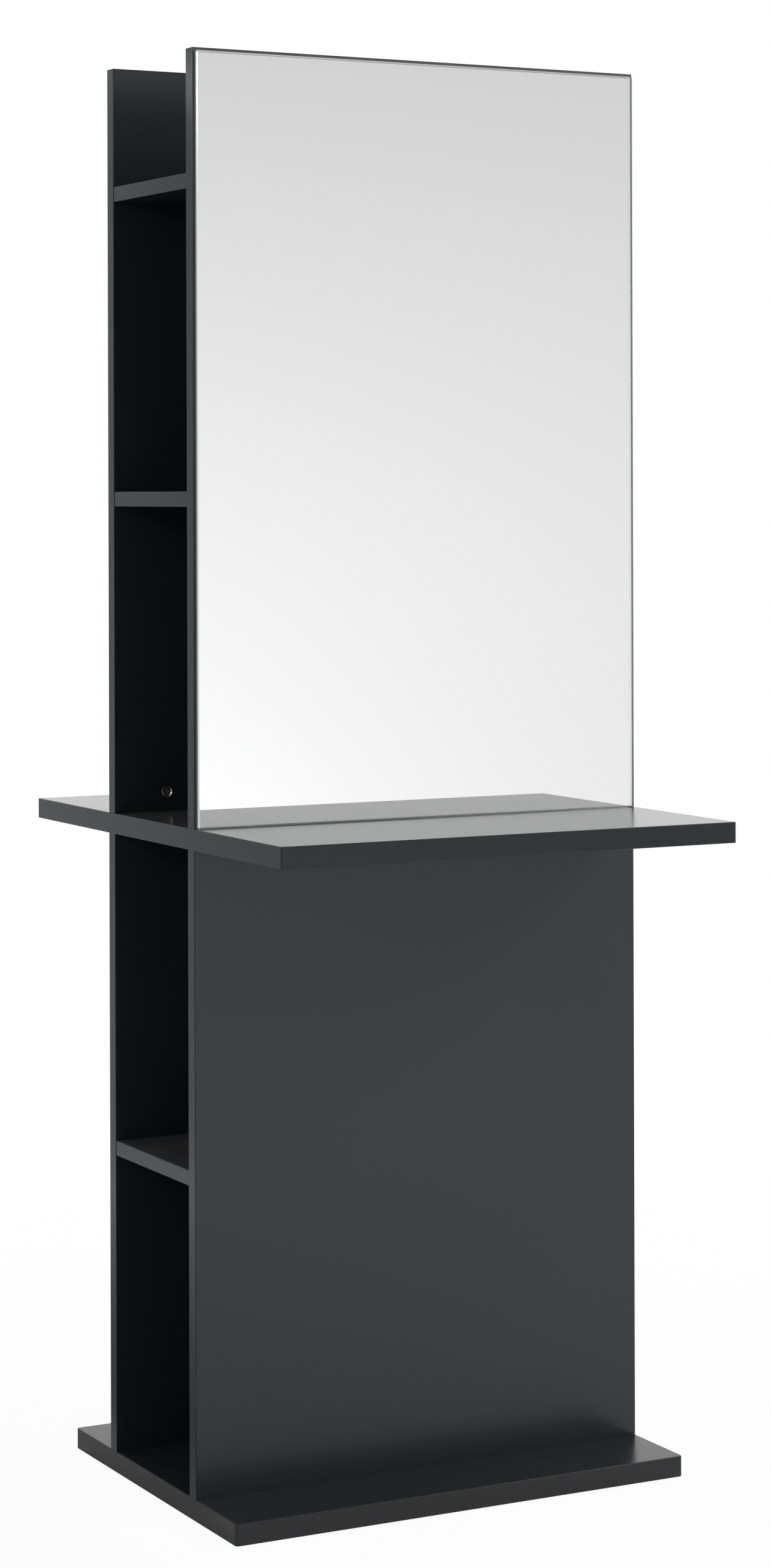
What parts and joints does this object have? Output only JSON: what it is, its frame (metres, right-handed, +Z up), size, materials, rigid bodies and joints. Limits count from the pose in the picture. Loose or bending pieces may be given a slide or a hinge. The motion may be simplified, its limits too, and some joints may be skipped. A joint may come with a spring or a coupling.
{
  "type": "double sided salon station",
  "caption": "Free-standing double sided salon styling station: frameless mirrors over a shared counter, on a slim core of open shelves and a base board, in black melamine board.",
  "frame": {"origin": "on the floor, under the centre of the station", "axes": "+Z up; +X along the width of the mirrors, to the right seen from the front; the front mirror faces -Y and the back mirror +Y"},
  "size_m": [0.6, 0.71, 1.72],
  "materials": {
    "black_board": "black melamine-faced board, satin with a fine pearl texture",
    "edge_band": "black ABS edge band, satin",
    "mirror": "silvered float glass with polished edges",
    "foam_tape": "double sided foam mounting tape",
    "cam_zinc": "zinc die casting, dark nickel plate",
    "bolt_steel": "zinc plated steel",
    "beech_dowel": "plain beech",
    "screw_steel": "zinc plated steel",
    "glide_plastic": "black moulded plastic"
  },
  "bodies": {
    "station": {"base_board": "black_board", "lower_front_panel": "black_board", "lower_back_panel": "black_board", "lower_shelf": "black_board", "counter_board": "black_board", "upper_front_panel": "black_board", "upper_back_panel": "black_board", "middle_shelf": "black_board", "top_shelf": "black_board", "base_edge_band": "edge_band", "counter_edge_band": "edge_band", "upper_front_panel_edge_band": "edge_band", "upper_back_panel_edge_band": "edge_band", "lower_front_panel_left_band": "edge_band", "lower_front_panel_right_band": "edge_band", "lower_back_panel_left_band": "edge_band", "lower_back_panel_right_band": "edge_band", "lower_shelf_left_band": "edge_band", "lower_shelf_right_band": "edge_band", "middle_shelf_left_band": "edge_band", "middle_shelf_right_band": "edge_band", "top_shelf_left_band": "edge_band", "top_shelf_right_band": "edge_band", "front_mirror": "mirror", "back_mirror": "mirror", "front_mirror_tape": "foam_tape", "back_mirror_tape": "foam_tape", "cam_bolt_front_left": "bolt_steel", "cam_bolt_front_right": "bolt_steel", "cam_bolt_back_left": "bolt_steel", "cam_bolt_back_right": "bolt_steel", "lower_shelf_dowel_front_left": "beech_dowel", "lower_shelf_dowel_front_right": "beech_dowel", "lower_shelf_dowel_back_left": "beech_dowel", "lower_shelf_dowel_back_right": "beech_dowel", "middle_shelf_dowel_front_left": "beech_dowel", "middle_shelf_dowel_front_right": "beech_dowel", "middle_shelf_dowel_back_left": "beech_dowel", "middle_shelf_dowel_back_right": "beech_dowel", "top_shelf_dowel_front_left": "beech_dowel", "top_shelf_dowel_front_right": "beech_dowel", "top_shelf_dowel_back_left": "beech_dowel", "top_shelf_dowel_back_right": "beech_dowel", "base_screw_front_left": "screw_steel", "base_screw_front_right": "screw_steel", "base_screw_back_left": "screw_steel", "base_screw_back_right": "screw_steel", "counter_screw_front_left": "screw_steel", "counter_screw_front_right": "screw_steel", "counter_screw_back_left": "screw_steel", "counter_screw_back_right": "screw_steel", "glide_front_left": "glide_plastic", "glide_front_right": "glide_plastic", "glide_back_left": "glide_plastic", "glide_back_right": "glide_plastic"},
    "front left cam": {"cam_front_left": "cam_zinc"},
    "front right cam": {"cam_front_right": "cam_zinc"},
    "back left cam": {"cam_back_left": "cam_zinc"},
    "back right cam": {"cam_back_right": "cam_zinc"}
  },
  "joints": [
    {"name": "cam_turn_front_left", "type": "hinge", "parent": "station", "child": "front left cam", "pos_m": [-0.23, -0.1073, 0.833], "axis": [0, 1, 0], "range_deg": [0, 180]},
    {"name": "cam_turn_front_right", "type": "hinge", "parent": "station", "child": "front right cam", "pos_m": [0.23, -0.1073, 0.833], "axis": [0, 1, 0], "range_deg": [0, 180]},
    {"name": "cam_turn_back_left", "type": "hinge", "parent": "station", "child": "back left cam", "pos_m": [-0.23, 0.1073, 0.833], "axis": [0, -1, 0], "range_deg": [0, 180]},
    {"name": "cam_turn_back_right", "type": "hinge", "parent": "station", "child": "back right cam", "pos_m": [0.23, 0.1073, 0.833], "axis": [0, -1, 0], "range_deg": [0, 180]}
  ]
}
